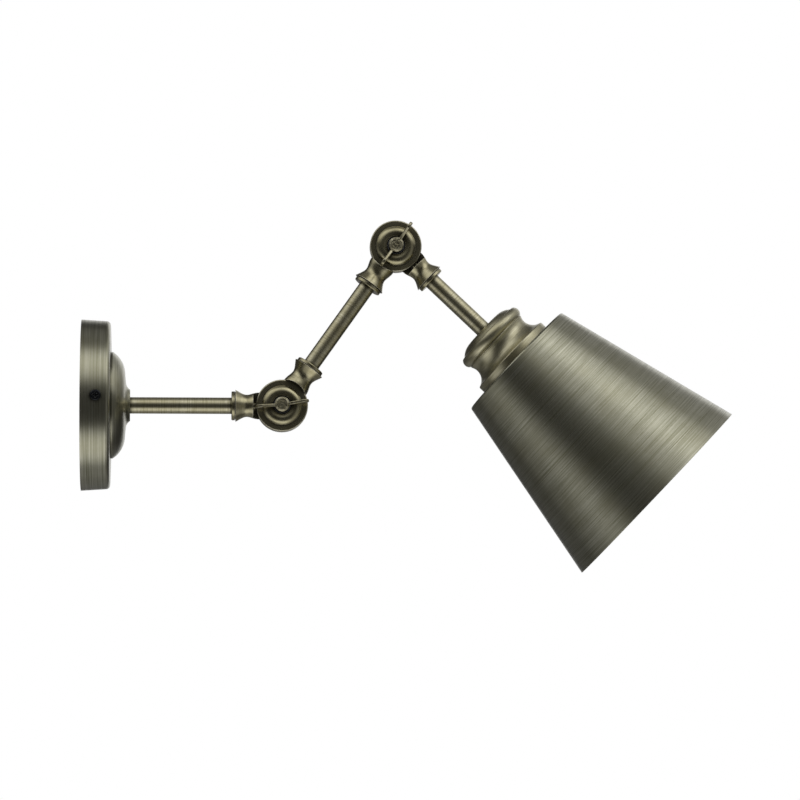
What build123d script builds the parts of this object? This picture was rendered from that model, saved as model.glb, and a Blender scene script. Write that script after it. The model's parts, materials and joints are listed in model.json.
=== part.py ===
from build123d import *
import math
import os

# Articulating wall lamp, in millimetres. The origin is the centre of the canopy's back rim,
# on the wall. +X points out from the wall and +Z points up. Both elbows turn about Y.

# Rest pose: angles of the arms and of the wing screws above the horizontal, in degrees
middle_arm_angle = 54.8
shade_arm_angle = -43.5
lower_wing_angle = 7.0
upper_wing_angle = 54.8

# Clearances
thread_clearance = 0.05
pivot_clearance = 0.08
screw_hole_clearance = 0.2
seat_clearance = 0.05
turning_gap = 0.4
ear_clearance = 0.3

# Tubes and the threaded nipples that join them
tube_radius = 6.0
arm_tube_length = 77.0
shade_tube_length = 55.0
nipple_radius = 5.0
nipple_bore = 3.4
nipple_engagement = 9.0
nipple_past_nut = 2.0

# Wall canopy, spun in one piece: drum, flat face, dome and hub
canopy_back_radius = 62.5
canopy_front_radius = 61.2
canopy_depth = 21.2
canopy_wall = 1.2
canopy_edge_round = 3.0
dome_radius = 38.9
dome_step = 1.8
dome_rise = 8.9
dome_flat_radius = 22.0
crown_slope = 0.7
flare_radius = 16.1
hub_radius = 11.9
hub_rise = 2.9
hub_chamfer = 0.5
hub_face_x = canopy_depth + dome_step + dome_rise + crown_slope + hub_rise

# Where an arc's middle lies between its two ends, along X and then in radius
dome_middle = (0.755, 0.44)
flare_middle = (0.49, 0.72)
cup_dome_middle = (0.3, 0.65)
neck_swell_middle = (0.6, 0.5)
holder_bell_middle = (0.5, 0.68)

# Wall bracket: a strap with turned-up ears that take the canopy's side screws
strap_width = 22.0
strap_thickness = 1.8
ear_height = 17.0
side_screw_x = 11.3
slot_spacing = 70.0
slot_width = 4.6
slot_length = 14.0
side_screw_radius = 2.0
side_screw_head_radius = 4.0
side_screw_head_height = 2.4

# Screw heads, as shares of the head's own radius and height
head_round_share = 0.45
recess_radius_share = 0.55
recess_depth_share = 0.6
recess_bar_share = 0.5

# Terminal block and the screws on the strap
block_length = 26.0
block_width = 17.0
block_height = 13.0
block_edge_round = 1.0
block_y = -10.0
pole_count = 3
pole_pitch = 8.4
pole_screw_radius = 1.7
pole_screw_length = 5.0
driver_slot_depth = 0.8
driver_slot_width = 0.6
wire_hole_radius = 1.6
wire_hole_height = 4.0
small_screw_radius = 1.5
small_screw_head_radius = 2.8
small_screw_head_height = 1.8
earth_screw_y = 14.0
earth_screw_radius = 2.0
earth_head_radius = 3.8
earth_head_height = 2.6
earth_washer_margin = 0.8
earth_washer_thickness = 1.8

# Nuts and washers on the nipples
nut_across_flats = 14.0
nut_thickness = 3.4
lock_washer_thickness = 0.8
lock_washer_radius = 8.0

# Knuckle half: a beaded disc with half a neck that swells to a full turned collar
disc_radius = 19.0
rim_face = 4.6
rim_edge_round = 0.9
bead_radius = 5.2
bead_crest = 8.4
bead_start = 30.0
bead_end = 104.0
drum_radius = 14.4
dish_edge = 7.9
dish_floor = 6.2
seat_radius = 6.9
hub_boss_radius = 7.2
chamber_radius = 14.0
chamber_roof = 3.0
neck_root = 15.0
neck_root_radius = 9.5
neck_cut = 21.1
neck_cut_radius = 9.15
waist_distance = 25.9
waist_radius = 8.15
ridge_distance = 34.0
ridge_radius = 11.8
collar_groove_width = 0.5
collar_groove_radius = 10.0
collar_ring_radius = 10.6
collar_ring_width = 2.4
collar_ring_round = 0.7
tube_socket_depth = 3.0
collar_end = ridge_distance + collar_groove_width + collar_ring_width
tube_seat = collar_end - tube_socket_depth

# Pivot hardware
pivot_radius = 3.0
friction_washer_thickness = 0.9
spring_washer_thickness = 0.5
spring_washer_dish = 0.4
spring_washer_radius = 6.2
cap_nut_across_flats = 10.0
cap_nut_height = 5.0
cap_nut_dome = 4.5
cap_nut_bore_depth = 7.0
pivot_tip_gap = 0.8
boss_radius = 5.8
boss_draft = 0.4
boss_tip_radius = 4.2
boss_height = 6.4
boss_chamfer = 1.1
wing_root_radius = 3.5
wing_half_span = 19.6
wing_thickness = 2.3
wing_ear_radius = 3.8
wing_ear_height = 7.4
wing_ear_lower_spread = 75.0
wing_ear_upper_spread = 115.0
wing_root_inset = 1.6
wing_waist = 0.6
wing_edge_round = 0.7

# Lampholder cup, a turned shell
cup_length = 33.1
cup_wall = 1.2
cup_dome_flat = 13.0
cup_dome_radius = 24.4
cup_dome_depth = 4.1
cup_bead_radius = 28.3
cup_bead_x = 7.4
cup_bead_step = 0.4
cup_bead_rise = 2.2
cup_neck_x = 11.8
cup_neck_radius = 26.9
cup_neck_step = 0.6
cup_groove_width = 1.2
cup_groove_depth = 0.3
cup_waist_x = 16.4
cup_waist_radius = 25.1
cup_flare_x = 20.6
cup_flare_radius = 25.5
cup_ring_x = 27.0
cup_ring_radius = 33.0
cup_ring_chamfer = 0.6

# Lampholder for an E27 bulb
holder_cap_length = 13.0
holder_cap_wall = 2.5
holder_cap_rim = 1.0
holder_neck_wall = 2.4
holder_neck_length = 2.0
holder_radius = 19.6
holder_wall = 2.6
holder_shelf_drop = 1.0
holder_shelf_thickness = 2.0
holder_lip = 1.0
socket_radius = 13.35
socket_wall = 0.45
socket_length = 30.0
insulator_thickness = 9.0
contact_well_depth = 5.0
contact_well_wall = 3.0
contact_width = 4.0
contact_thickness = 0.6
contact_reach = 5.0
contact_tilt = 25.0
contact_side_gap = 0.5
shade_ring_radius = 25.0
shade_ring_height = 5.0
shade_ring_grip_inset = 2.0
shade_ring_grip_count = 24
shade_ring_grip_radius = 0.9

# Shade
shade_length = 142.0
shade_top_radius = 48.3
shade_mouth_radius = 80.0
shade_wall = 0.8
shade_corner_round = 1.6

# Derived places
arm_x = hub_face_x + arm_tube_length + tube_seat
middle_arm_length = arm_tube_length + 2 * tube_seat
cup_top = tube_seat + shade_tube_length
shade_top = cup_top + cup_length
holder_top = cup_top + cup_wall + nut_thickness
holder_body_top = holder_top + holder_cap_length
insulator_start = holder_body_top + holder_shelf_drop + holder_shelf_thickness
socket_floor = insulator_start + insulator_thickness
socket_mouth = socket_floor + socket_length
canopy_taper = (canopy_back_radius - canopy_front_radius) / canopy_depth
ear_top_bore = canopy_back_radius - canopy_taper * ear_height - canopy_wall - ear_clearance
ear_y = math.sqrt(ear_top_bore ** 2 - (strap_width / 2) ** 2)
fixing_screw_y = block_y + pole_pitch / 2
hub_inner_x = hub_face_x - canopy_wall
boss_base = dish_floor + spring_washer_thickness + spring_washer_dish + seat_clearance
boss_face = boss_base + boss_height
shade_taper = (shade_mouth_radius - shade_top_radius) / shade_length

# Cutting shapes reach past what they cut by this much, and a trimming window this far
over = 1.0
far = 400.0


def heading(angle):
    """Unit vector in the lamp's plane at an angle above the horizontal."""
    return Vector(math.cos(math.radians(angle)), 0, math.sin(math.radians(angle)))


lower_elbow = Vector(arm_x, 0, 0)
upper_elbow = lower_elbow + heading(middle_arm_angle) * middle_arm_length


def arm_frame(origin, angle, front=True):
    """Frame with X along an arm and Z along the pivot, out of the lamp's front or rear side."""
    side = -1 if front else 1
    return Plane(origin=origin, x_dir=heading(angle), z_dir=(0, side, 0)).location


middle_arm = arm_frame(lower_elbow, middle_arm_angle)
shade_arm = arm_frame(upper_elbow, shade_arm_angle)


def turned(outline, axis=Axis.X):
    """Solid of revolution of a closed outline."""
    return revolve(make_face(outline), axis)


def between(start, end, middle):
    """Point that lies between two others, by its own share of the way in each direction."""
    return tuple(a + (b - a) * share for a, b, share in zip(start, end, middle))


def rod(radius, start, end):
    """Round bar along X from start to end."""
    return Pos((start + end) / 2, 0, 0) * Rot(0, 90, 0) * Cylinder(radius, end - start)


def pipe(radius, bore, start, end):
    return rod(radius, start, end) - rod(bore, start - over, end + over)


def peg(radius, start, end):
    """Round bar along Z from start to end."""
    return Pos(0, 0, (start + end) / 2) * Cylinder(radius, end - start)


def washer(radius, bore, start, end):
    return peg(radius, start, end) - peg(bore, start - over, end + over)


def hexagon(across_flats, start, end):
    """Hexagonal bar along Z from start to end."""
    flat = RegularPolygon(radius=across_flats / 2, side_count=6, major_radius=False)
    return Pos(0, 0, start) * extrude(flat, end - start)


def along_x(shape):
    """Turn a shape made along Z so that it points along X."""
    return Rot(0, 90, 0) * shape


def spun_shell(outline, wall, start, end):
    """Sheet shell turned about X, as thick as its wall, trimmed between start and end."""
    half = make_face(outline)
    blank = half + mirror(half, Plane.XZ)
    section = blank - offset(blank, amount=-wall)
    window = Pos((start + end) / 2, far / 2) * Rectangle(end - start, far)
    return revolve(section & window, Axis.X)


def cross_recess(radius, depth, top):
    """Cross-shaped driver recess cut down from a screw head's top, along Z."""
    bar = Box(2 * radius, radius * recess_bar_share, depth)
    return Pos(0, 0, top - depth / 2) * (bar + Rot(0, 0, 90) * bar)


def pan_screw(radius, head_radius, head_height, length):
    """Pan-head screw along Z, its head standing on Z = 0 and its shank below."""
    head = peg(head_radius, 0, head_height)
    head = fillet(head.edges().group_by(Axis.Z)[-1], head_height * head_round_share)
    head -= cross_recess(head_radius * recess_radius_share, head_height * recess_depth_share,
                         head_height)
    return head + peg(radius, -length, 0)


# Wall side

def canopy():
    """Drum, flat face, dome and hub in one sheet, open at the wall."""
    back = -2 * canopy_wall
    rear = (back, canopy_back_radius - back * canopy_taper)
    step = (canopy_depth + dome_step, dome_radius)
    crown_edge = (step[0] + dome_rise, dome_flat_radius)
    flare_edge = (crown_edge[0] + crown_slope, flare_radius)
    hub_edge = (hub_face_x - hub_chamfer, hub_radius)
    drum = FilletPolyline(
        rear,
        (canopy_depth, canopy_front_radius),
        (canopy_depth, dome_radius),
        radius=canopy_edge_round,
    )
    drum += Line((canopy_depth, dome_radius), step)
    dome = ThreePointArc(step, between(step, crown_edge, dome_middle), crown_edge)
    crown = Line(crown_edge, flare_edge)
    flare = ThreePointArc(flare_edge, between(flare_edge, hub_edge, flare_middle), hub_edge)
    rest = Polyline(
        hub_edge,
        (hub_face_x, hub_radius - hub_chamfer),
        (hub_face_x, 0),
        (back, 0),
        rear,
    )
    shell = spun_shell(drum + dome + crown + flare + rest, canopy_wall, 0, hub_face_x)
    shell -= rod(nipple_radius + screw_hole_clearance, 0, hub_face_x + over)
    hole = Cylinder(side_screw_radius + screw_hole_clearance, 3 * canopy_back_radius)
    return shell - Pos(side_screw_x, 0, 0) * Rot(90, 0, 0) * hole


def wall_bracket():
    strap = Pos(strap_thickness / 2, 0, 0) * Box(strap_thickness, 2 * ear_y, strap_width)
    ear = Box(ear_height, strap_thickness, strap_width)
    for side in (-1, 1):
        strap += Pos(ear_height / 2, side * (ear_y - strap_thickness / 2), 0) * ear
    slot = extrude(SlotOverall(slot_length, slot_width), 2 * strap_thickness, both=True)
    for side in (-1, 1):
        strap -= Pos(0, side * slot_spacing / 2, 0) * Rot(0, 90, 0) * Rot(0, 0, 90) * slot
    tapped = Rot(90, 0, 0) * Cylinder(side_screw_radius + thread_clearance, 3 * ear_y)
    strap -= Pos(side_screw_x, 0, 0) * tapped
    for y, radius in ((earth_screw_y, earth_screw_radius), (fixing_screw_y, small_screw_radius)):
        strap -= Pos(0, y, 0) * rod(radius + thread_clearance, -over, strap_thickness + over)
    return strap


def canopy_side_screws():
    """The two black screws that hold the canopy on the bracket's ears."""
    skin = canopy_back_radius - canopy_taper * (side_screw_x - side_screw_head_radius)
    reach = skin - ear_y + 2 * strap_thickness
    screw = pan_screw(side_screw_radius, side_screw_head_radius, side_screw_head_height, reach)
    near = Pos(side_screw_x, -skin, 0) * Rot(90, 0, 0) * screw
    return [near, mirror(near, Plane.XZ)]


def earth_screw():
    seat = strap_thickness + earth_washer_thickness
    screw = pan_screw(earth_screw_radius, earth_head_radius, earth_head_height, seat)
    return Pos(seat, earth_screw_y, 0) * along_x(screw)


def earth_washer():
    """Cup washer that traps the earth wire under the screw's head."""
    bore = earth_screw_radius + screw_hole_clearance
    ring = washer(earth_head_radius + earth_washer_margin, bore, strap_thickness,
                  strap_thickness + earth_washer_thickness)
    return Pos(0, earth_screw_y, 0) * along_x(ring)


def pole_places():
    """Y places of the terminal block's poles."""
    first = block_y - (pole_count - 1) / 2 * pole_pitch
    return [first + i * pole_pitch for i in range(pole_count)]


def terminal_block():
    """Moulded block with a wire hole and two screw wells to each pole."""
    floor = strap_thickness
    top = floor + block_height
    body = Pos((floor + top) / 2, block_y, 0) * Box(block_height, block_length, block_width)
    body = fillet(body.edges().filter_by(Axis.X), block_edge_round)
    wire_hole = Cylinder(wire_hole_radius, 2 * block_width)
    well = rod(pole_screw_radius + screw_hole_clearance, floor + wire_hole_height, top + over)
    for y in pole_places():
        body -= Pos(floor + wire_hole_height, y, 0) * wire_hole
        for z in (-block_width / 4, block_width / 4):
            body -= Pos(0, y, z) * well
    seat = floor + block_height / 2
    fixing = rod(small_screw_radius + screw_hole_clearance, 0, top + over)
    fixing += rod(small_screw_head_radius + screw_hole_clearance, seat, top + over)
    return body - Pos(0, fixing_screw_y, 0) * fixing


def terminal_screws():
    """One slotted screw in each well, clear of the wire hole."""
    tip = strap_thickness + wire_hole_height + wire_hole_radius
    screw = rod(pole_screw_radius, tip, tip + pole_screw_length)
    slot = Box(2 * driver_slot_depth, 4 * pole_screw_radius, driver_slot_width)
    slot = Pos(tip + pole_screw_length, 0, 0) * slot
    screws = []
    for y in pole_places():
        for z in (-block_width / 4, block_width / 4):
            screws.append(Pos(0, y, z) * (screw - slot))
    return screws


def block_screw():
    """Screw that holds the terminal block on the strap."""
    seat = strap_thickness + block_height / 2
    screw = pan_screw(small_screw_radius, small_screw_head_radius, small_screw_head_height, seat)
    return Pos(seat, fixing_screw_y, 0) * along_x(screw)


def nipple(start, end):
    """Length of threaded tube along X, drawn at its outer thread diameter."""
    return pipe(nipple_radius, nipple_bore, start, end)


def locknut():
    """Hexagonal nut for a nipple, standing on Z = 0."""
    bore = peg(nipple_radius + thread_clearance, -over, nut_thickness + over)
    return hexagon(nut_across_flats, 0, nut_thickness) - bore


def canopy_nipple():
    inner_end = hub_inner_x - lock_washer_thickness - nut_thickness - nipple_past_nut
    return nipple(inner_end, hub_face_x + nipple_engagement)


def canopy_locknut():
    return Pos(hub_inner_x - lock_washer_thickness, 0, 0) * Rot(0, -90, 0) * locknut()


def canopy_lock_washer():
    ring = washer(lock_washer_radius, nipple_radius + screw_hole_clearance, 0,
                  lock_washer_thickness)
    return Pos(hub_inner_x - lock_washer_thickness, 0, 0) * along_x(ring)


# Arms

def tube(start, length):
    """Arm tube along X, bored right through to take a nipple in each end."""
    return pipe(tube_radius, nipple_radius + thread_clearance, start, start + length)


def knuckle_nipple():
    """Nipple inside a collar and the tube seated in it."""
    return nipple(tube_seat - nipple_engagement, tube_seat + nipple_engagement)


def knuckle_neck():
    """Full-round neck and collar along X, before it is cut back beside the disc."""
    waist = (waist_distance, waist_radius)
    ridge = (ridge_distance, ridge_radius)
    flank = Spline(
        (neck_root, neck_root_radius),
        (neck_cut, neck_cut_radius),
        waist,
        between(waist, ridge, neck_swell_middle),
        ridge,
    )
    ring_start = ridge_distance + collar_groove_width
    ring = Polyline(
        ridge,
        (ridge_distance, collar_groove_radius),
        (ring_start, collar_groove_radius),
        (ring_start, collar_ring_radius),
        (collar_end - collar_ring_round, collar_ring_radius),
    )
    corner = RadiusArc(
        (collar_end - collar_ring_round, collar_ring_radius),
        (collar_end, collar_ring_radius - collar_ring_round),
        collar_ring_round,
    )
    end = Polyline(
        (collar_end, collar_ring_radius - collar_ring_round),
        (collar_end, 0),
        (neck_root, 0),
        (neck_root, neck_root_radius),
    )
    return turned(flank + ring + corner + end)


def bead_point(angle):
    """Point on the round of a knuckle disc's bead, from its outer side inwards."""
    start, turn = math.radians(bead_start), math.radians(angle)
    return (drum_radius + bead_radius * (math.cos(turn) - math.cos(start)),
            bead_crest - bead_radius * (1 - math.sin(turn)))


def knuckle_disc():
    """Beaded disc about Z with a recess for the pivot and a wire chamber behind."""
    outer, crest, inner = (bead_point(angle) for angle in (bead_start, 90, bead_end))
    seat = (seat_radius, dish_floor)
    hub_back = (friction_washer_thickness + 2 * seat_clearance) / 2
    rim_back = turning_gap / 2
    back = Polyline(
        seat,
        (pivot_radius + pivot_clearance, dish_floor),
        (pivot_radius + pivot_clearance, hub_back),
        (hub_boss_radius, hub_back),
        (hub_boss_radius, chamber_roof),
        (chamber_radius, chamber_roof),
        (chamber_radius, rim_back),
        (disc_radius, rim_back),
        (disc_radius, rim_face - rim_edge_round),
    )
    edge = RadiusArc(
        (disc_radius, rim_face - rim_edge_round),
        (disc_radius - rim_edge_round, rim_face),
        -rim_edge_round,
    )
    rim = Polyline(
        (disc_radius - rim_edge_round, rim_face),
        (drum_radius, rim_face),
        outer,
    )
    bead = ThreePointArc(outer, crest, inner)
    dish = Polyline(inner, (seat_radius, dish_edge), seat)
    outline = back + edge + rim + bead + dish
    return revolve(Plane.XZ * make_face(outline), Axis.Z)


def knuckle_half():
    """One casting: the disc on the +Z side of the joint, and its neck and collar along X."""
    block = 4 * disc_radius
    neck = knuckle_neck()
    below = Pos(neck_cut - block / 2, 0, turning_gap / 2 - block / 2) * Box(block, block, block)
    neck -= below
    neck -= peg(disc_radius, rim_face, block)
    half = knuckle_disc() + neck
    half -= rod(nipple_radius + thread_clearance, tube_seat - nipple_engagement, collar_end + over)
    half -= rod(nipple_bore, chamber_radius - over, collar_end)
    return half - rod(tube_radius + seat_clearance, tube_seat, collar_end + over)


def friction_washer():
    """Fibre washer between the hub bosses of two halves, about Z."""
    half = friction_washer_thickness / 2
    return washer(hub_boss_radius, pivot_radius + screw_hole_clearance, -half, half)


def spring_washer():
    """Conical washer about Z in the dish, under the wing screw's boss."""
    bore = pivot_radius + screw_hole_clearance
    low = dish_floor
    high = dish_floor + spring_washer_dish
    thick = spring_washer_thickness
    outline = Polyline(
        (bore, high),
        (spring_washer_radius, low),
        (spring_washer_radius, low + thick),
        (bore, high + thick),
        close=True,
    )
    return revolve(Plane.XZ * make_face(outline), Axis.Z)


def cap_nut():
    """Domed nut on the far end of the pivot, about -Z, on the rear half's seat."""
    body = hexagon(cap_nut_across_flats, dish_floor, dish_floor + cap_nut_height)
    dome = Pos(0, 0, dish_floor + cap_nut_height) * Sphere(cap_nut_dome)
    bore = peg(pivot_radius + thread_clearance, 0, dish_floor + cap_nut_bore_depth)
    return Rot(180, 0, 0) * (body + dome - bore)


def wing():
    """One ear of the wing screw in the XZ plane, waisted where it leaves the boss."""
    root = wing_root_radius
    low = boss_base + wing_root_inset
    high = boss_face - wing_root_inset
    ear = Vector(wing_half_span - wing_ear_radius, boss_base + wing_ear_height)
    lower_end = ear + Vector(wing_ear_radius, 0).rotate(Axis.Z, -wing_ear_lower_spread)
    upper_end = ear + Vector(wing_ear_radius, 0).rotate(Axis.Z, wing_ear_upper_spread)
    tip = ear + Vector(wing_ear_radius, 0)
    lower_mid = Vector((root + lower_end.X) / 2, (low + lower_end.Y) / 2 - wing_waist)
    upper_mid = Vector((root + upper_end.X) / 2, (high + upper_end.Y) / 2 - wing_waist)
    outline = ThreePointArc((root, low), lower_mid, lower_end)
    outline += ThreePointArc(lower_end, tip, upper_end)
    outline += ThreePointArc(upper_end, upper_mid, (root, high))
    outline += Line((root, high), (root, low))
    plate = extrude(Plane.XZ * make_face(outline), wing_thickness / 2, both=True)
    faces = plate.faces().filter_by(Plane.XZ)
    rims = [edge for edge in faces.edges() if edge.center().X > root + wing_edge_round]
    return fillet(rims, wing_edge_round)


def wing_screw():
    """Pivot screw about Z with a tapered boss and two wings."""
    tip = -(dish_floor + cap_nut_bore_depth - pivot_tip_gap)
    boss = Polyline(
        (0, boss_base),
        (boss_radius, boss_base),
        (boss_radius - boss_draft, boss_face - boss_chamfer),
        (boss_tip_radius, boss_face),
        (0, boss_face),
        close=True,
    )
    body = revolve(Plane.XZ * make_face(boss), Axis.Z)
    ear = wing()
    body += ear + Rot(0, 0, 180) * ear
    return body + peg(pivot_radius, tip, boss_base)


# Lampholder, cup and shade, along X of the shade arm

def holder_cup():
    """Turned shell: shallow dome, bead, waist and the ring that meets the shade."""
    back = cup_length + 3 * cup_wall
    flat_edge = (0, cup_dome_flat)
    dome_edge = (cup_dome_depth, cup_dome_radius)
    bead_edge = (cup_dome_depth + cup_bead_step, cup_dome_radius + cup_bead_rise)
    neck = (cup_neck_x, cup_neck_radius)
    waist_edge = (cup_neck_x + cup_groove_width, cup_neck_radius - cup_neck_step)
    groove = (cup_neck_x + cup_groove_width / 2, waist_edge[1] - cup_groove_depth)
    flare_edge = (cup_flare_x, cup_flare_radius)
    ring_edge = (cup_ring_x, cup_ring_radius - cup_ring_chamfer)
    dome = ThreePointArc(flat_edge, between(flat_edge, dome_edge, cup_dome_middle), dome_edge)
    bead = ThreePointArc(bead_edge, (cup_bead_x, cup_bead_radius), neck)
    waist = ThreePointArc(waist_edge, (cup_waist_x, cup_waist_radius), flare_edge)
    flare = TangentArc(flare_edge, ring_edge, tangent=waist % 1)
    rest = Polyline(
        ring_edge,
        (cup_ring_x + cup_ring_chamfer, cup_ring_radius),
        (back, cup_ring_radius),
        (back, 0),
        (0, 0),
        flat_edge,
    )
    outline = dome + Line(dome_edge, bead_edge) + bead + Polyline(neck, groove, waist_edge)
    shell = spun_shell(outline + waist + flare + rest, cup_wall, 0, cup_length)
    shell -= rod(nipple_radius + screw_hole_clearance, -over, 3 * cup_wall)
    return Pos(cup_top, 0, 0) * shell


def holder_nipple():
    return nipple(cup_top - nipple_engagement, holder_top + holder_cap_wall + holder_neck_length)


def holder_locknut():
    return Pos(cup_top + cup_wall, 0, 0) * along_x(locknut())


def holder_cap():
    """Upper half of the lampholder, a moulded bell screwed on the nipple."""
    neck = (holder_top + holder_cap_wall, nipple_radius + holder_neck_wall)
    skirt = (holder_body_top, holder_radius)
    bell = ThreePointArc(neck, between(neck, skirt, holder_bell_middle), skirt)
    neck_end = neck[0] + holder_neck_length
    bore = nipple_radius + thread_clearance
    rest = Polyline(
        skirt,
        (holder_body_top, holder_radius - holder_wall),
        (holder_body_top - holder_cap_rim, holder_radius - holder_wall),
        (neck_end, nipple_radius + holder_neck_wall),
        (neck_end, bore),
        (holder_top, bore),
        (holder_top, nipple_radius + holder_neck_wall),
        neck,
    )
    return turned(bell + rest)


def holder_body():
    """Lower half of the lampholder, its outside threaded for the shade ring."""
    bore = holder_radius - holder_wall
    skirt = pipe(holder_radius, bore, holder_body_top, socket_mouth + holder_lip)
    shelf_top = insulator_start - holder_shelf_thickness
    return skirt + pipe(bore + holder_wall / 2, socket_radius, shelf_top, insulator_start)


def insulator():
    """Ceramic disc that carries the contacts, resting on the holder's shelf."""
    body = rod(holder_radius - holder_wall - seat_clearance, insulator_start, socket_floor)
    well_radius = socket_radius - contact_well_wall
    return body - rod(well_radius, socket_floor - contact_well_depth, socket_floor + over)


def screw_shell():
    """Brass E27 shell, drawn as a plain sleeve at its inner thread diameter."""
    sleeve = pipe(socket_radius + socket_wall, socket_radius, socket_floor, socket_mouth)
    foot = pipe(holder_radius - holder_wall - seat_clearance, socket_radius, socket_floor,
                socket_floor + 2 * socket_wall)
    return sleeve + foot


def contacts():
    """Centre spring and its base plate, in the insulator's well."""
    floor = socket_floor - contact_well_depth
    reach = 2 * (socket_radius - contact_well_wall - contact_side_gap)
    base = Pos(floor + contact_thickness / 2, 0, 0)
    base *= Box(contact_thickness, reach, contact_width)
    tongue = Pos(floor + contact_reach / 2, 0, 0) * Rot(0, 0, contact_tilt)
    tongue *= Box(contact_reach, contact_thickness, contact_width)
    return base + tongue


def shade_ring():
    """Ring screwed on the lampholder, clamping the shade against the cup."""
    start = shade_top + shade_wall
    bore = holder_radius + thread_clearance
    flange = pipe(shade_ring_radius, bore, start, start + shade_ring_height / 2)
    grip = pipe(shade_ring_radius - shade_ring_grip_inset, bore, start, start + shade_ring_height)
    notch = rod(shade_ring_grip_radius, start - over, start + shade_ring_height)
    step = 360 / shade_ring_grip_count
    ring = flange + grip
    for i in range(shade_ring_grip_count):
        ring -= Rot(i * step, 0, 0) * Pos(0, shade_ring_radius, 0) * notch
    return ring


def shade():
    """Flat-topped cone open at its mouth, with a hole that the lampholder passes through."""
    beyond = shade_length + 3 * shade_wall
    beyond_radius = shade_top_radius + shade_taper * beyond
    side = FilletPolyline(
        (0, 0), (0, shade_top_radius), (beyond, beyond_radius), radius=shade_corner_round
    )
    rest = Polyline((beyond, beyond_radius), (beyond, 0), (0, 0))
    shell = spun_shell(side + rest, shade_wall, 0, shade_length)
    hole = rod(holder_radius + ear_clearance, -over, 3 * shade_wall)
    return Pos(shade_top, 0, 0) * (shell - hole)


front_lower = arm_frame(lower_elbow, middle_arm_angle)
front_upper = arm_frame(upper_elbow, middle_arm_angle + 180)
rear_lower = arm_frame(lower_elbow, 180, front=False)
rear_upper = arm_frame(upper_elbow, shade_arm_angle, front=False)
lower_wing = arm_frame(lower_elbow, lower_wing_angle)
upper_wing = arm_frame(upper_elbow, upper_wing_angle)

parts = {
    "canopy": canopy(),
    "wall_bracket": wall_bracket(),
    "canopy_side_screws": canopy_side_screws(),
    "earth_screw": earth_screw(),
    "earth_washer": earth_washer(),
    "terminal_block": terminal_block(),
    "terminal_screws": terminal_screws(),
    "terminal_block_screw": block_screw(),
    "canopy_nipple": canopy_nipple(),
    "canopy_locknut": canopy_locknut(),
    "canopy_lock_washer": canopy_lock_washer(),
    "wall_arm_tube": tube(hub_face_x, arm_tube_length),
    "wall_arm_nipple": rear_lower * knuckle_nipple(),
    "wall_arm_knuckle": rear_lower * knuckle_half(),
    "lower_friction_washer": front_lower * friction_washer(),
    "lower_cap_nut": lower_wing * cap_nut(),
    "lower_wing_screw": lower_wing * wing_screw(),
    "lower_spring_washer": front_lower * spring_washer(),
    "middle_arm_lower_knuckle": front_lower * knuckle_half(),
    "middle_arm_lower_nipple": front_lower * knuckle_nipple(),
    "middle_arm_tube": middle_arm * tube(tube_seat, arm_tube_length),
    "middle_arm_upper_nipple": front_upper * knuckle_nipple(),
    "middle_arm_upper_knuckle": front_upper * knuckle_half(),
    "upper_spring_washer": front_upper * spring_washer(),
    "upper_wing_screw": upper_wing * wing_screw(),
    "upper_cap_nut": upper_wing * cap_nut(),
    "upper_friction_washer": front_upper * friction_washer(),
    "shade_arm_knuckle": rear_upper * knuckle_half(),
    "shade_arm_nipple": rear_upper * knuckle_nipple(),
    "shade_arm_tube": shade_arm * tube(tube_seat, shade_tube_length),
    "holder_nipple": shade_arm * holder_nipple(),
    "holder_cup": shade_arm * holder_cup(),
    "holder_locknut": shade_arm * holder_locknut(),
    "lampholder_cap": shade_arm * holder_cap(),
    "lampholder_body": shade_arm * holder_body(),
    "lampholder_insulator": shade_arm * insulator(),
    "lampholder_screw_shell": shade_arm * screw_shell(),
    "lampholder_contacts": shade_arm * contacts(),
    "shade_ring": shade_arm * shade_ring(),
    "shade": shade_arm * shade(),
}

os.makedirs("parts", exist_ok=True)
for name, shape in parts.items():
    solids = shape if isinstance(shape, list) else shape.solids()
    export_step(Compound(children=list(solids)), "parts/" + name + ".step")
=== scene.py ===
import json
import math
import bpy
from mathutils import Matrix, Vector

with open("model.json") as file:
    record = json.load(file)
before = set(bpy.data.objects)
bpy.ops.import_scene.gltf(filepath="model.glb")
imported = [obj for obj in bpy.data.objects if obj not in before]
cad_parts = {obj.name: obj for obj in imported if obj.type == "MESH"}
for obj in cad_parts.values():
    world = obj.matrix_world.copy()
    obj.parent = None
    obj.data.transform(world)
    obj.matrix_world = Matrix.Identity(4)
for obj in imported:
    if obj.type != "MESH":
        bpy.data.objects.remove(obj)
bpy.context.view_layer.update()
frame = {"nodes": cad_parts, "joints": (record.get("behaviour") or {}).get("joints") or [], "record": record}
print("frame loaded")

mm = 0.001
joints = {joint["name"]: joint for joint in frame["joints"]}
mounts = {mount["name"]: mount for mount in frame["record"]["mounts"]}
wallCentre = Vector((0, 0, 0))
outOfWall = Vector((1, 0, 0))
acrossArms = Vector((0, -1, 0))  # both pivots point this way, towards the viewer
lowerElbow = Vector(joints["lower_elbow"]["pos_m"])
upperElbow = Vector(joints["upper_elbow"]["pos_m"])
middleArm = (upperElbow - lowerElbow).normalized()
shadeArm = Vector(mounts["bulb_socket"]["axis"]).normalized()


def linear(code):
    parts = [int(code[i:i + 2], 16) / 255 for i in (1, 3, 5)]
    return [p / 12.92 if p <= 0.04045 else ((p + 0.055) / 1.055) ** 2.4 for p in parts] + [1]


def addNode(tree, kind, settings=None, links=None):
    node = tree.nodes.new("ShaderNode" + kind)
    for key, value in (settings or {}).items():
        if isinstance(key, str) and hasattr(node, key):
            setattr(node, key, value)
        else:
            node.inputs[key].default_value = value
    for key, source in (links or {}).items():
        tree.links.new(source, node.inputs[key])
    return node


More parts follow.
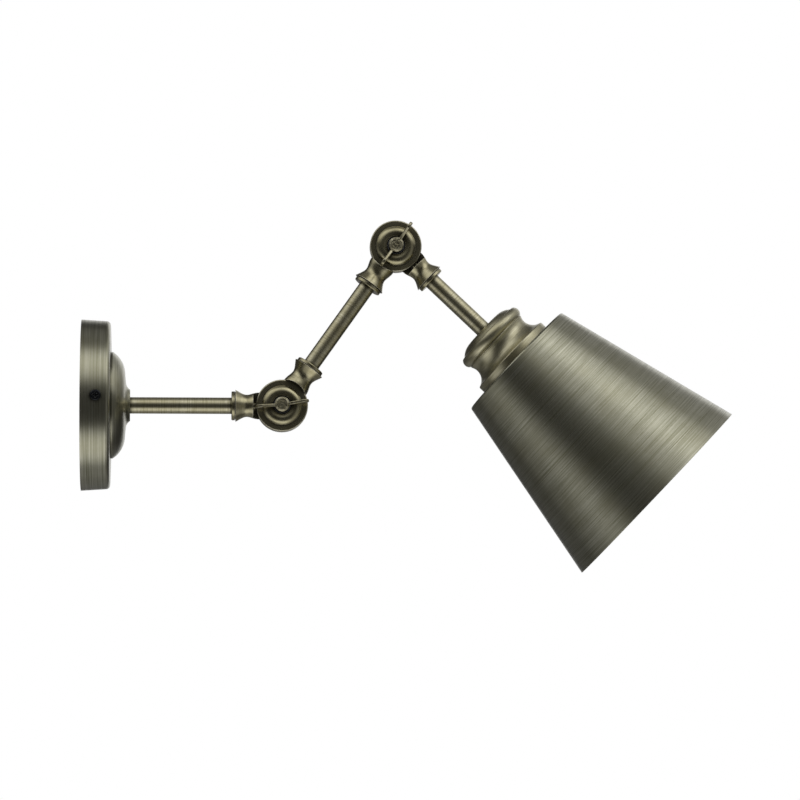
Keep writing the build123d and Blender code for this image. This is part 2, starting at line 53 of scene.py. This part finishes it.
def newMaterial(name):
    made = bpy.data.materials.new(name)
    made.use_nodes = True
    made.node_tree.nodes.clear()
    return made, made.node_tree


def closeMaterial(tree, settings, links):
    shader = addNode(tree, "BsdfPrincipled", settings, links)
    addNode(tree, "OutputMaterial", links={"Surface": shader.outputs[0]})


def dress(node, material):
    slots = frame["nodes"][node].data.materials
    slots.clear()
    slots.append(material)


# Camera: a long lens a little below the arms, from the photo's perspective
cameraSetup = {
    "place": (0.0741, -3.1315, -0.3709),
    "lookAt": (0.23294, 0.0, 0.00481),
    "roll": -0.093,
    "lens": 193.9,
    "sensor": 36.0,
    "clip": (0.05, 50.0),
}


def makeCamera(setup):
    data = bpy.data.cameras.new("camera")
    data.lens = setup["lens"]
    data.sensor_width = setup["sensor"]
    data.clip_start, data.clip_end = setup["clip"]
    camera = bpy.data.objects.new("camera", data)
    bpy.context.scene.collection.objects.link(camera)
    camera.location = setup["place"]
    aim = Vector(setup["lookAt"]) - camera.location
    turn = aim.to_track_quat("-Z", "Y").to_euler()
    turn.rotate_axis("Z", math.radians(setup["roll"]))
    camera.rotation_euler = turn
    bpy.context.scene.camera = camera


makeCamera(cameraSetup)


# Studio: soft boxes as round glows on the sky that metal reflects, strong above the viewer and
# below, near black in front. Two lamps repeat the main ones for matt surfaces and shadows.
studioGlows = {
    # name: (azimuth, elevation, edge of the full light, end of the fade, level), in degrees
    "aboveFront": (0, 50, 4, 34, 0.58),
    "aboveRight": (48, 46, 4, 34, 1.00),
    "aboveFarRight": (88, 38, 4, 34, 0.44),
    "aboveLeft": (-45, 45, 4, 32, 0.61),
    "aboveFarLeft": (-86, 45, 4, 34, 0.62),
    "besideRight": (128, 34, 4, 34, 0.32),
    "belowFront": (0, -66, 4, 34, 0.92),
    "belowLeft": (-56, -44, 4, 32, 0.58),
    "belowRight": (62, -48, 4, 34, 0.36),
    "sideLeft": (-92, -18, 4, 34, 0.20),
    "sideRight": (45, -8, 4, 30, 0.18),
    "belowBehind": (180, -50, 4, 46, 0.15),
    "underneath": (180, -78, 4, 30, 0.12),
    "behindLeft": (-140, -18, 4, 42, 0.04),
    "overhead": (180, 78, 4, 28, 0.13),
}
backdropGlow = (168, 13, 4, 30, 0.91)  # the white sweep behind the lamp, seen in its rims
studioLevels = {"base": 0.035, "white": 1.0}
softBoxes = {
    "boxAbove": {"azimuth": 12, "elevation": 52, "distance": 2.6, "size": (2.6, 1.3), "level": 1.0},
    "boxBelow": {"azimuth": -15, "elevation": -55, "distance": 1.35, "size": (1.6, 0.8),
                 "level": 0.6},
}
studioCentre = Vector((0.23, 0, 0))
floorSetup = {
    "height": -2.5, "size": 24.0,  # low enough that a view from below clears it
    "colour": "#F1F1EF", "roughness": 0.9,
    "cameraLift": 0.45,  # glow added to camera rays alone, so that it shows pale
}


def towards(azimuth, elevation):
    a, e = math.radians(azimuth), math.radians(elevation)
    return Vector((math.sin(a) * math.cos(e), -math.cos(a) * math.cos(e), math.sin(e)))


def makeSoftBox(name, setup):
    data = bpy.data.lights.new(name, "AREA")
    data.shape = "RECTANGLE"
    data.size, data.size_y = setup["size"]
    data.energy = setup["level"] * math.pi * data.size * data.size_y
    lamp = bpy.data.objects.new(name, data)
    bpy.context.scene.collection.objects.link(lamp)
    away = towards(setup["azimuth"], setup["elevation"])
    lamp.location = studioCentre + away * setup["distance"]
    lamp.rotation_euler = (-away).to_track_quat("-Z", "Y").to_euler()
    lamp.visible_camera = False
    lamp.visible_glossy = False  # metal sees the glows instead


def glowLevel(tree, place, glow):
    azimuth, elevation, inner, outer, level = glow
    facing = addNode(tree, "VectorMath", {
        "operation": "DOT_PRODUCT", 1: towards(azimuth, elevation),
    }, {0: place})
    return addNode(tree, "MapRange", {
        "interpolation_type": "SMOOTHSTEP",
        "From Min": math.cos(math.radians(outer)), "From Max": math.cos(math.radians(inner)),
        "To Max": level,
    }, {"Value": facing.outputs["Value"]}).outputs[0]


def makeWorld(levels):
    world = bpy.data.worlds.new("studio")
    bpy.context.scene.world = world
    world.use_nodes = True
    tree = world.node_tree
    tree.nodes.clear()
    ray = addNode(tree, "LightPath").outputs
    place = addNode(tree, "TexCoord").outputs["Generated"]
    behind = addNode(tree, "Math", {"operation": "MULTIPLY"},
                     {0: glowLevel(tree, place, backdropGlow), 1: ray["Is Glossy Ray"]})
    total = addNode(tree, "Math", {"operation": "ADD", 1: levels["base"]},
                    {0: behind.outputs[0]})
    for glow in studioGlows.values():
        total = addNode(tree, "Math", {"operation": "ADD"},
                        {0: total.outputs[0], 1: glowLevel(tree, place, glow)})
    clear = addNode(tree, "Math", {"operation": "MAXIMUM"},
                    {0: ray["Is Camera Ray"], 1: ray["Is Transmission Ray"]})
    shown = addNode(tree, "Mix", {"B": levels["white"]},
                    {"Factor": clear.outputs[0], "A": total.outputs[0]})
    glow = addNode(tree, "Background", {"Color": (1, 1, 1, 1)}, {"Strength": shown.outputs[0]})
    addNode(tree, "OutputWorld", links={"Surface": glow.outputs[0]})


def makeFloor(setup):
    bpy.ops.mesh.primitive_plane_add(size=setup["size"], location=(0, 0, setup["height"]))
    floor = bpy.context.object
    floor.name = "floor"
    made, tree = newMaterial("palePaper")
    ray = addNode(tree, "LightPath").outputs
    lift = addNode(tree, "Math", {"operation": "MULTIPLY", 1: setup["cameraLift"]},
                   {0: ray["Is Camera Ray"]})
    closeMaterial(tree, {
        "Base Color": linear(setup["colour"]), "Roughness": setup["roughness"],
        "Emission Color": linear(setup["colour"]),
    }, {"Emission Strength": lift.outputs[0]})
    floor.data.materials.append(made)
    floor.visible_glossy = False  # metal sees the glows below instead


for name, setup in softBoxes.items():
    makeSoftBox(name, setup)
makeWorld(studioLevels)
makeFloor(floorSetup)
bpy.context.scene.view_settings.view_transform = "Standard"
print("camera, lamps, world and floor made")


# Antique brass: plated or cast brass, darkened with a patina, rubbed back and lacquered satin.
# It gives an olive, half-dull metal whose highlights stay soft and spread across the brushing.
# Sizes are in millimetres, and bump and lumpDepth are heights.
brassFinishes = {
    # Spun sheet, brushed on the lathe: crisp streaks round its axis over cloudy patina.
    # The real strokes are about 0.3 mm wide, drawn 0.5 mm wide so that they show.
    "sheet": {
        "dark": "#7C7B5E", "light": "#D0CEBC", "warm": "#969276", "patinaAndShade": "#1A1910",
        "roughness": 0.34, "roughSpread": 0.12, "anisotropy": 0.5,
        "streakWidth": 0.5, "streakLength": 60.0, "streakShare": 0.8, "bump": 0.014,
        "cloudSize": 24.0, "patinaAndShadeReach": 2.5, "patinaAndShadeShare": 0.95, "sheenAndWearReach": 0.5,
        "sheenAndWear": 0.5,
    },
    # Drawn tube, polished along its turns: nearly even, with faint rings.
    "tube": {
        "dark": "#A39D7A", "light": "#D8D2B6", "warm": "#AEA47C", "patinaAndShade": "#1D1A10",
        "roughness": 0.35, "roughSpread": 0.08, "anisotropy": 0.35,
        "streakWidth": 0.8, "streakLength": 14.0, "streakShare": 1.0, "bump": 0.014,
        "cloudSize": 16.0, "patinaAndShadeReach": 3.0, "patinaAndShadeShare": 0.95, "sheenAndWearReach": 0.4,
        "sheenAndWear": 0.3,
    },
    # Casting, turned and tumbled: smooth satin, dark in its corners from patina and painted shade, bright on
    # its edges from rubbing and a painted highlight.
    "casting": {
        "dark": "#99926D", "light": "#D0C9A9", "warm": "#A1966A", "patinaAndShade": "#0E0C07",
        "roughness": 0.28, "roughSpread": 0.06, "anisotropy": 0.2,
        "streakWidth": 0.8, "streakLength": 9.0, "streakShare": 0.5, "bump": 0.004,
        "cloudSize": 9.0, "patinaAndShadeReach": 5.0, "patinaAndShadeShare": 0.95, "sheenAndWearReach": 0.9,
        "sheenAndWear": 0.9,
    },
    # Lampholder cup: turned and brushed on the lathe, so its highlights spread along its curves.
    "turned": {
        "dark": "#A09A78", "light": "#DAD5BA", "warm": "#B0A67C", "patinaAndShade": "#14120A",
        "roughness": 0.38, "roughSpread": 0.10, "anisotropy": 0.4,
        "streakWidth": 0.7, "streakLength": 14.0, "streakShare": 0.6, "bump": 0.006,
        "cloudSize": 14.0, "patinaAndShadeReach": 3.0, "patinaAndShadeShare": 0.55, "sheenAndWearReach": 0.7,
        "sheenAndWear": 0.7,
    },
    # Wing screw: cast and only tumbled, so its boss stays lumpy and mottled.
    "roughCasting": {
        "dark": "#8F896A", "light": "#CFC9AE", "warm": "#A1966D", "patinaAndShade": "#0E0C07",
        "roughness": 0.31, "roughSpread": 0.08, "anisotropy": 0.0,
        "streakWidth": 0.8, "streakLength": 3.0, "streakShare": 0.5, "bump": 0.004,
        "cloudSize": 3.0, "patinaAndShadeReach": 4.0, "patinaAndShadeShare": 0.95, "sheenAndWearReach": 0.7,
        "sheenAndWear": 1.0, "lumpSize": 1.4, "lumpDepth": 0.5,
    },
}
wornAndSheenEdge = {"colour": "#E6E0C8", "roughness": 0.6}
lacquer = {"weight": 0.4, "roughness": 0.3}
patina = {
    "streakTone": (0.34, 0.66),  # stretch of the streak noise from dark to light metal
    "streakRough": (0.3, 0.7),  # and from rough to smooth
    "patchTone": (0.45, 0.75),  # stretch of the cloud noise over which warm patches come in
    "patchShare": 0.5,
    "openness": (0.35, 0.95),  # of a corner, from darkened by patina and painted shade to clean
    "edgeRound": 0.3,
}
edgeTurn = (0.985, 0.92)  # cosine between a surface and its surroundings, from clean to worn and painted bright
disc = {"radius": 19.05, "grainRadius": 14.0}
# Light line on the disc's rounded rim: rubbed wear and a painted highlight
discRim = {"middle": 18.65, "halfWidth": 0.7, "lean": (0.02, 0.12), "sheenAndWear": 0.9}
bossRadius = 6.0


# Streak pattern that runs round an axis, and the direction of the streaks
def latheGrain(tree, place, centre, axis, radius, finish):
    turn = axis.to_track_quat("Z", "Y").to_euler()
    local = addNode(tree, "Mapping", {
        "vector_type": "TEXTURE", "Location": centre, "Rotation": turn,
    }, {"Vector": place}).outputs[0]
    flat = addNode(tree, "VectorMath", {"operation": "MULTIPLY", 1: (1, 1, 0)}, {0: local})
    outward = addNode(tree, "VectorMath", {"operation": "NORMALIZE"}, {0: flat.outputs[0]})
    distance = addNode(tree, "VectorMath", {"operation": "LENGTH"}, {0: flat.outputs[0]})
    along = addNode(tree, "SeparateXYZ", links={0: local}).outputs["Z"]
    width = finish["streakWidth"] * mm
    turns = radius / finish["streakLength"]
    ring = addNode(tree, "VectorMath", {"operation": "SCALE", "Scale": turns},
                   {0: outward.outputs[0]})
    step = addNode(tree, "Math", {"operation": "DIVIDE", 1: width}, {0: along})
    lift = addNode(tree, "CombineXYZ", links={2: step.outputs[0]})
    spot = addNode(tree, "VectorMath", {"operation": "ADD"},
                   {0: ring.outputs[0], 1: lift.outputs[0]})
    spread = addNode(tree, "Math", {"operation": "DIVIDE", 1: width},
                     {0: distance.outputs["Value"]})
    streak = addNode(tree, "TexNoise", {
        "noise_dimensions": "4D", "Scale": 1.0, "Detail": 3.0, "Roughness": 0.7,
    }, {"Vector": spot.outputs[0], "W": spread.outputs[0]}).outputs[0]
    spin = addNode(tree, "VectorMath", {"operation": "SUBTRACT", 1: centre}, {0: place})
    grainWay = addNode(tree, "VectorMath", {"operation": "CROSS_PRODUCT", 0: axis},
                       {1: spin.outputs[0]})
    return streak, grainWay.outputs[0], distance.outputs["Value"]


# Rings round the pivot on the disc, and round the arm beyond it
def knuckleGrain(tree, place, piece, finish):
    streak, grainWay, reach = latheGrain(tree, place, piece["pivot"], acrossArms,
                                         disc["grainRadius"], finish)
    other, otherWay, _ = latheGrain(tree, place, piece["centre"], piece["axis"],
                                    piece["radius"], finish)
    onNeck = addNode(tree, "Math", {"operation": "GREATER_THAN", 1: disc["radius"] * mm},
                     {0: reach})
    streak = addNode(tree, "Mix", links={"Factor": onNeck.outputs[0], "A": streak, "B": other})
    way = addNode(tree, "Mix", {"data_type": "VECTOR"},
                  {"Factor": onNeck.outputs[0], "A": grainWay, "B": otherWay})
    return streak.outputs["Result"], way.outputs["Result"], reach


# Edges painted lighter within a reach in millimetres: rubbed by handling, and a painted highlight along them
def sheenAndWearMask(tree, reach, share):
    shape = addNode(tree, "NewGeometry").outputs["Normal"]
    around = addNode(tree, "Bevel", {"samples": 6, "Radius": reach * mm})
    flatness = addNode(tree, "VectorMath", {"operation": "DOT_PRODUCT"},
                       {0: around.outputs[0], 1: shape})
    return addNode(tree, "MapRange", {
        "From Min": edgeTurn[0], "From Max": edgeTurn[1], "To Max": share,
    }, {"Value": flatness.outputs["Value"]}).outputs[0]


# Light line on the disc's rounded rim, both rubbed wear and a painted highlight: its surface there leans
# between face and side
def rimSheenAndWear(tree, reach):
    shape = addNode(tree, "TexCoord").outputs["Normal"]
    lean = addNode(tree, "VectorMath", {"operation": "DOT_PRODUCT", 1: acrossArms}, {0: shape})
    square = addNode(tree, "Math", {"operation": "POWER", 1: 2.0}, {0: lean.outputs["Value"]})
    rest = addNode(tree, "Math", {"operation": "SUBTRACT", 0: 1.0}, {1: square.outputs[0]})
    both = addNode(tree, "Math", {"operation": "MULTIPLY"},
                   {0: square.outputs[0], 1: rest.outputs[0]})
    bend = addNode(tree, "MapRange", {
        "From Min": discRim["lean"][0], "From Max": discRim["lean"][1], "To Max": discRim["sheenAndWear"],
    }, {"Value": both.outputs[0]})
    offCentre = addNode(tree, "Math", {"operation": "SUBTRACT", 1: discRim["middle"] * mm},
                        {0: reach})
    near = addNode(tree, "Math", {"operation": "ABSOLUTE"}, {0: offCentre.outputs[0]})
    onRim = addNode(tree, "Math", {"operation": "LESS_THAN", 1: discRim["halfWidth"] * mm},
                    {0: near.outputs[0]})
    return addNode(tree, "Math", {"operation": "MULTIPLY"},
                   {0: bend.outputs[0], 1: onRim.outputs[0]}).outputs[0]


def antiqueBrass(name, piece):
    finish = brassFinishes[piece["finish"]]
    made, tree = newMaterial(name)
    place = addNode(tree, "TexCoord").outputs["Object"]
    if "pivot" in piece:
        streak, grainWay, reach = knuckleGrain(tree, place, piece, finish)
    else:
        streak, grainWay, reach = latheGrain(tree, place, piece["centre"], piece["axis"],
                                             piece["radius"], finish)
    grainWay = addNode(tree, "VectorTransform", {
        "vector_type": "VECTOR", "convert_from": "OBJECT", "convert_to": "WORLD",
    }, {0: grainWay}).outputs[0]
    cloud = addNode(tree, "TexNoise", {"Scale": 1 / (finish["cloudSize"] * mm), "Detail": 3.0},
                    {"Vector": place}).outputs[0]
    half = finish["streakShare"] / 2
    rubbed = addNode(tree, "MapRange", {
        "From Min": patina["streakTone"][0], "From Max": patina["streakTone"][1],
        "To Min": 0.5 - half, "To Max": 0.5 + half,
    }, {"Value": streak})
    metal = addNode(tree, "Mix", {
        "data_type": "RGBA", "A": linear(finish["dark"]), "B": linear(finish["light"]),
    }, {"Factor": rubbed.outputs[0]})
    patch = addNode(tree, "MapRange", {
        "From Min": patina["patchTone"][0], "From Max": patina["patchTone"][1],
        "To Max": patina["patchShare"],
    }, {"Value": cloud})
    metal = addNode(tree, "Mix", {"data_type": "RGBA", "B": linear(finish["warm"])},
                    {"Factor": patch.outputs[0], "A": metal.outputs["Result"]})
    # Edges painted lighter: rubbed wear, and a painted highlight along them
    edge = sheenAndWearMask(tree, finish["sheenAndWearReach"], finish["sheenAndWear"])
    if "pivot" in piece:
        edge = addNode(tree, "Math", {"operation": "MAXIMUM"},
                       {0: edge, 1: rimSheenAndWear(tree, reach)}).outputs[0]
    metal = addNode(tree, "Mix", {"data_type": "RGBA", "B": linear(wornAndSheenEdge["colour"])},
                    {"Factor": edge, "A": metal.outputs["Result"]})
    # Corners and recesses darkened from ambient occlusion: patina together with painted shade
    corner = addNode(tree, "AmbientOcclusion", {
        "samples": 8, "Distance": finish["patinaAndShadeReach"] * mm,
    })
    patinaAndShadeMix = addNode(tree, "MapRange", {
        "From Min": patina["openness"][0], "From Max": patina["openness"][1],
        "To Min": finish["patinaAndShadeShare"], "To Max": 0.0,
    }, {"Value": corner.outputs["AO"]})
    metal = addNode(tree, "Mix", {"data_type": "RGBA", "B": linear(finish["patinaAndShade"])},
                    {"Factor": patinaAndShadeMix.outputs[0], "A": metal.outputs["Result"]})
    rough = addNode(tree, "MapRange", {
        "From Min": patina["streakRough"][0], "From Max": patina["streakRough"][1],
        "To Min": finish["roughness"] + finish["roughSpread"] / 2,
        "To Max": finish["roughness"] - finish["roughSpread"] / 2,
    }, {"Value": streak})
    rough = addNode(tree, "Mix", {"B": wornAndSheenEdge["roughness"]},
                    {"Factor": edge, "A": rough.outputs[0]})
    soft = addNode(tree, "Bevel", {"samples": 4, "Radius": patina["edgeRound"] * mm})
    normal = addNode(tree, "Bump", {"Strength": 1.0, "Distance": finish["bump"] * mm},
                     {"Height": streak, "Normal": soft.outputs[0]})
    if "lumpDepth" in finish:
        lumps = addNode(tree, "TexNoise", {"Scale": 1 / (finish["lumpSize"] * mm)},
                        {"Vector": place})
        onBoss = addNode(tree, "Math", {"operation": "LESS_THAN", 1: bossRadius * mm},
                         {0: reach})
        normal = addNode(tree, "Bump", {"Distance": finish["lumpDepth"] * mm}, {
            "Strength": onBoss.outputs[0], "Height": lumps.outputs[0],
            "Normal": normal.outputs[0],
        })
    closeMaterial(tree, {
        "Metallic": 1.0, "Anisotropic": finish["anisotropy"],
        "Anisotropic Rotation": 0.25,  # a quarter turn, so that lights spread across the streaks
        "Coat Weight": lacquer["weight"], "Coat Roughness": lacquer["roughness"],
    }, {
        "Base Color": metal.outputs["Result"], "Roughness": rough.outputs["Result"],
        "Normal": normal.outputs[0], "Tangent": grainWay,
    })
    return made


# Each piece's lathe axis passes through its centre, and radius is where its streaks are measured
brassPieces = {
    "canopy": {"finish": "sheet", "centre": wallCentre, "axis": outOfWall, "radius": 55.0},
    "holder_cup": {"finish": "turned", "centre": upperElbow, "axis": shadeArm, "radius": 27.0},
    "shade": {"finish": "sheet", "centre": upperElbow, "axis": shadeArm, "radius": 65.0},
}
for name, centre, axis in (("wall_arm", wallCentre, outOfWall),
                           ("middle_arm", lowerElbow, middleArm),
                           ("shade_arm", upperElbow, shadeArm)):
    brassPieces[name + "_tube"] = {"finish": "tube", "centre": centre, "axis": axis,
                                   "radius": 6.0}
for name, centre, axis, pivot in (("wall_arm", wallCentre, outOfWall, lowerElbow),
                                  ("middle_arm_lower", lowerElbow, middleArm, lowerElbow),
                                  ("middle_arm_upper", upperElbow, middleArm, upperElbow),
                                  ("shade_arm", upperElbow, shadeArm, upperElbow)):
    brassPieces[name + "_knuckle"] = {"finish": "casting", "centre": centre, "axis": axis,
                                      "radius": 10.0, "pivot": pivot}
for name, elbow in (("lower", lowerElbow), ("upper", upperElbow)):
    brassPieces[name + "_wing_screw"] = {"finish": "roughCasting", "centre": elbow,
                                         "axis": acrossArms, "radius": 5.0}
    brassPieces[name + "_cap_nut"] = {"finish": "casting", "centre": elbow,
                                      "axis": acrossArms, "radius": 5.0}
for node, piece in brassPieces.items():
    dress(node, antiqueBrass("antiqueBrass_" + node, piece))
print("brass dressed")


# Plain finishes of the small and inner pieces, with grain and the reach of their lightened edges (wear and
# painted highlight) in millimetres
plainFinishes = {
    # Mild steel, stamped or turned, with bright zinc plating: cool, softly mirrored grey.
    "zincPlatedSteel": {"dark": "#8D9094", "light": "#B9BCC0", "metallic": 1.0,
                        "roughness": 0.35, "grain": 1.5, "wornAndSheen": "#C8CACC", "sheenAndWearReach": 0.2},
    # Cold-headed steel screws, blackened in an oxide bath: near black with a satin sheen, and
    #  grey on the recess edges, both where a driver has rubbed them and as a painted highlight of the recess
    #  walls.
    "blackOxideSteel": {"dark": "#26272A", "light": "#3A3C40", "metallic": 1.0,
                        "roughness": 0.4, "grain": 1.0, "wornAndSheen": "#B4B6B8", "sheenAndWearReach": 0.3},
    # Brass, turned or pressed and left bare: yellow and rather bright.
    "bareBrass": {"dark": "#A98A4A", "light": "#D2B56E", "metallic": 1.0,
                  "roughness": 0.28, "grain": 2.0, "wornAndSheen": "#E0C88A", "sheenAndWearReach": 0.2},
    # Natural polyamide, injection moulded: milky white, dull satin.
    "mouldedNylon": {"dark": "#DAD9D2", "light": "#E6E5DF", "metallic": 0.0,
                     "roughness": 0.45, "grain": 1.0, "wornAndSheen": "#EEEDE8", "sheenAndWearReach": 0.2},
    # Phenolic resin, hot pressed: brownish black with a moulded gloss.
    "mouldedPhenolic": {"dark": "#14110F", "light": "#1F1B18", "metallic": 0.0,
                        "roughness": 0.32, "grain": 1.2, "wornAndSheen": "#2B2622", "sheenAndWearReach": 0.2},
    # Steatite, pressed and fired unglazed: chalky off-white.
    "steatite": {"dark": "#D9D5CA", "light": "#E9E6DD", "metallic": 0.0,
                 "roughness": 0.6, "grain": 0.8, "wornAndSheen": "#F0EEE7", "sheenAndWearReach": 0.2},
    # Vulcanised fibre, punched from sheet: dull brick red.
    "redFibre": {"dark": "#6A2A1E", "light": "#8A3A2A", "metallic": 0.0,
                 "roughness": 0.7, "grain": 0.7, "wornAndSheen": "#9C4C3A", "sheenAndWearReach": 0.2},
}


plainSurface = {"sheenAndWear": 0.9, "roughSpread": 0.1, "bump": 0.01}


def plainFinish(name, finish):
    made, tree = newMaterial(name)
    place = addNode(tree, "TexCoord").outputs["Object"]
    grain = addNode(tree, "TexNoise", {"Scale": 1 / (finish["grain"] * mm), "Detail": 3.0},
                    {"Vector": place}).outputs[0]
    colour = addNode(tree, "Mix", {
        "data_type": "RGBA", "A": linear(finish["dark"]), "B": linear(finish["light"]),
    }, {"Factor": grain})
    # Edges painted lighter: rubbed wear, and a painted highlight along them
    edge = sheenAndWearMask(tree, finish["sheenAndWearReach"], plainSurface["sheenAndWear"])
    colour = addNode(tree, "Mix", {"data_type": "RGBA", "B": linear(finish["wornAndSheen"])},
                     {"Factor": edge, "A": colour.outputs["Result"]})
    rough = addNode(tree, "MapRange", {
        "To Min": finish["roughness"] - plainSurface["roughSpread"] / 2,
        "To Max": finish["roughness"] + plainSurface["roughSpread"] / 2,
    }, {"Value": grain})
    bump = addNode(tree, "Bump", {"Strength": 1.0, "Distance": plainSurface["bump"] * mm},
                   {"Height": grain})
    closeMaterial(tree, {"Metallic": finish["metallic"]}, {
        "Base Color": colour.outputs["Result"], "Roughness": rough.outputs[0],
        "Normal": bump.outputs[0],
    })
    return made


plainPieces = {
    "zincPlatedSteel": [
        "wall_bracket", "canopy_nipple", "canopy_locknut", "canopy_lock_washer",
        "wall_arm_nipple", "middle_arm_lower_nipple", "middle_arm_upper_nipple",
        "shade_arm_nipple", "holder_nipple", "holder_locknut", "lower_spring_washer",
        "upper_spring_washer", "terminal_screws", "terminal_block_screw",
    ],
    "blackOxideSteel": ["canopy_side_screws"],
    "bareBrass": ["earth_screw", "earth_washer", "lampholder_screw_shell",
                  "lampholder_contacts"],
    "mouldedNylon": ["terminal_block"],
    "mouldedPhenolic": ["lampholder_cap", "lampholder_body", "shade_ring"],
    "steatite": ["lampholder_insulator"],
    "redFibre": ["lower_friction_washer", "upper_friction_washer"],
}
for name, nodes in plainPieces.items():
    material = plainFinish(name, plainFinishes[name])
    for node in nodes:
        dress(node, material)
print("plain pieces dressed")
